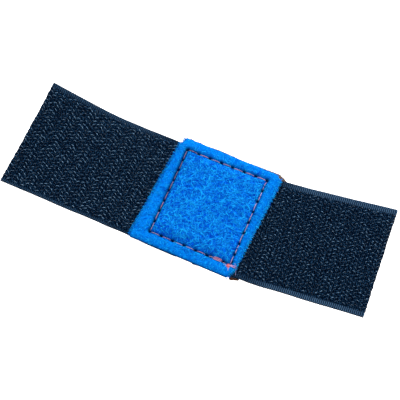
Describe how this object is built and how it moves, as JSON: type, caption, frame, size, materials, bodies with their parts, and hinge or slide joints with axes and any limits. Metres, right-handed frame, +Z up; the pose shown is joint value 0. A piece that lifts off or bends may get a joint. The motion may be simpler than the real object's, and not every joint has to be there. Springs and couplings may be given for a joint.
{
  "type": "hand wrap closure strap",
  "caption": "Flat closure strap of a hand wrap: dark hook tape wings sewn between a square blue loop patch and a tan backing patch; the wings curl round the hand.",
  "frame": {"origin": "centre of the loop patch, on the underside of the backing patch, where the strap rests", "axes": "+X along the strap towards the right wing, +Y across it towards its far edge, +Z up, out of the hooks and the loop pile"},
  "size_m": [0.1633, 0.0583, 0.0047],
  "materials": {
    "hook_tape": "matt woven tape",
    "hooks": "satin monofilament",
    "loop_ground": "matt knit",
    "loop_pile": "brushed loops",
    "backing": "matt plain weave",
    "thread": "twisted sewing thread"
  },
  "bodies": {
    "sewn_centre": {"backing_patch": "backing", "left_tape_sewn_end": "hook_tape", "left_tape_sewn_hooks": "hooks", "right_tape_sewn_end": "hook_tape", "right_tape_sewn_hooks": "hooks", "loop_patch_ground": "loop_ground", "loop_patch_pile": "loop_pile", "needle_thread": "thread", "bobbin_thread": "thread", "corner_tack_thread": "thread"},
    "left_wing_1": {"left_tape_band_1": "hook_tape", "left_hook_band_1": "hooks"},
    "left_wing_2": {"left_tape_band_2": "hook_tape", "left_hook_band_2": "hooks"},
    "left_wing_3": {"left_tape_band_3": "hook_tape", "left_hook_band_3": "hooks"},
    "left_wing_4": {"left_tape_band_4": "hook_tape", "left_hook_band_4": "hooks"},
    "right_wing_1": {"right_tape_band_1": "hook_tape", "right_hook_band_1": "hooks"},
    "right_wing_2": {"right_tape_band_2": "hook_tape", "right_hook_band_2": "hooks"},
    "right_wing_3": {"right_tape_band_3": "hook_tape", "right_hook_band_3": "hooks"},
    "right_wing_4": {"right_tape_band_4": "hook_tape", "right_hook_band_4": "hooks"}
  },
  "joints": [
    {"name": "left_wing_curl", "type": "hinge", "parent": "sewn_centre", "child": "left_wing_1", "pos_m": [-0.027, -0.0006, 0.0014], "axis": [0, 1, 0], "range_deg": [-36, 36], "stiffness_Nm_per_rad": 0.01},
    {"name": "left_wing_curl_2", "type": "hinge", "parent": "left_wing_1", "child": "left_wing_2", "pos_m": [-0.04135, -0.0006, 0.0014], "axis": [0, 1, 0], "range_deg": [-36, 36], "stiffness_Nm_per_rad": 0.01},
    {"name": "left_wing_curl_3", "type": "hinge", "parent": "left_wing_2", "child": "left_wing_3", "pos_m": [-0.0557, -0.0006, 0.0014], "axis": [0, 1, 0], "range_deg": [-36, 36], "stiffness_Nm_per_rad": 0.01},
    {"name": "left_wing_curl_4", "type": "hinge", "parent": "left_wing_3", "child": "left_wing_4", "pos_m": [-0.07005, -0.0006, 0.0014], "axis": [0, 1, 0], "range_deg": [-36, 36], "stiffness_Nm_per_rad": 0.01},
    {"name": "right_wing_curl", "type": "hinge", "parent": "sewn_centre", "child": "right_wing_1", "pos_m": [0.02995, 0.00123, 0.0014], "axis": [0.1184, -0.993, 0], "range_deg": [-36, 36], "stiffness_Nm_per_rad": 0.01},
    {"name": "right_wing_curl_2", "type": "hinge", "parent": "right_wing_1", "child": "right_wing_2", "pos_m": [0.04144, 0.0026, 0.0014], "axis": [0.1184, -0.993, 0], "range_deg": [-36, 36], "stiffness_Nm_per_rad": 0.01},
    {"name": "right_wing_curl_3", "type": "hinge", "parent": "right_wing_2", "child": "right_wing_3", "pos_m": [0.05294, 0.00397, 0.0014], "axis": [0.1184, -0.993, 0], "range_deg": [-36, 36], "stiffness_Nm_per_rad": 0.01},
    {"name": "right_wing_curl_4", "type": "hinge", "parent": "right_wing_3", "child": "right_wing_4", "pos_m": [0.06443, 0.00534, 0.0014], "axis": [0.1184, -0.993, 0], "range_deg": [-36, 36], "stiffness_Nm_per_rad": 0.01}
  ],
  "couplings": [
    {"joint": "left_wing_curl_2", "follows": "left_wing_curl", "ratio": 1},
    {"joint": "left_wing_curl_3", "follows": "left_wing_curl", "ratio": 1},
    {"joint": "left_wing_curl_4", "follows": "left_wing_curl", "ratio": 1},
    {"joint": "right_wing_curl_2", "follows": "right_wing_curl", "ratio": 1},
    {"joint": "right_wing_curl_3", "follows": "right_wing_curl", "ratio": 1},
    {"joint": "right_wing_curl_4", "follows": "right_wing_curl", "ratio": 1}
  ]
}
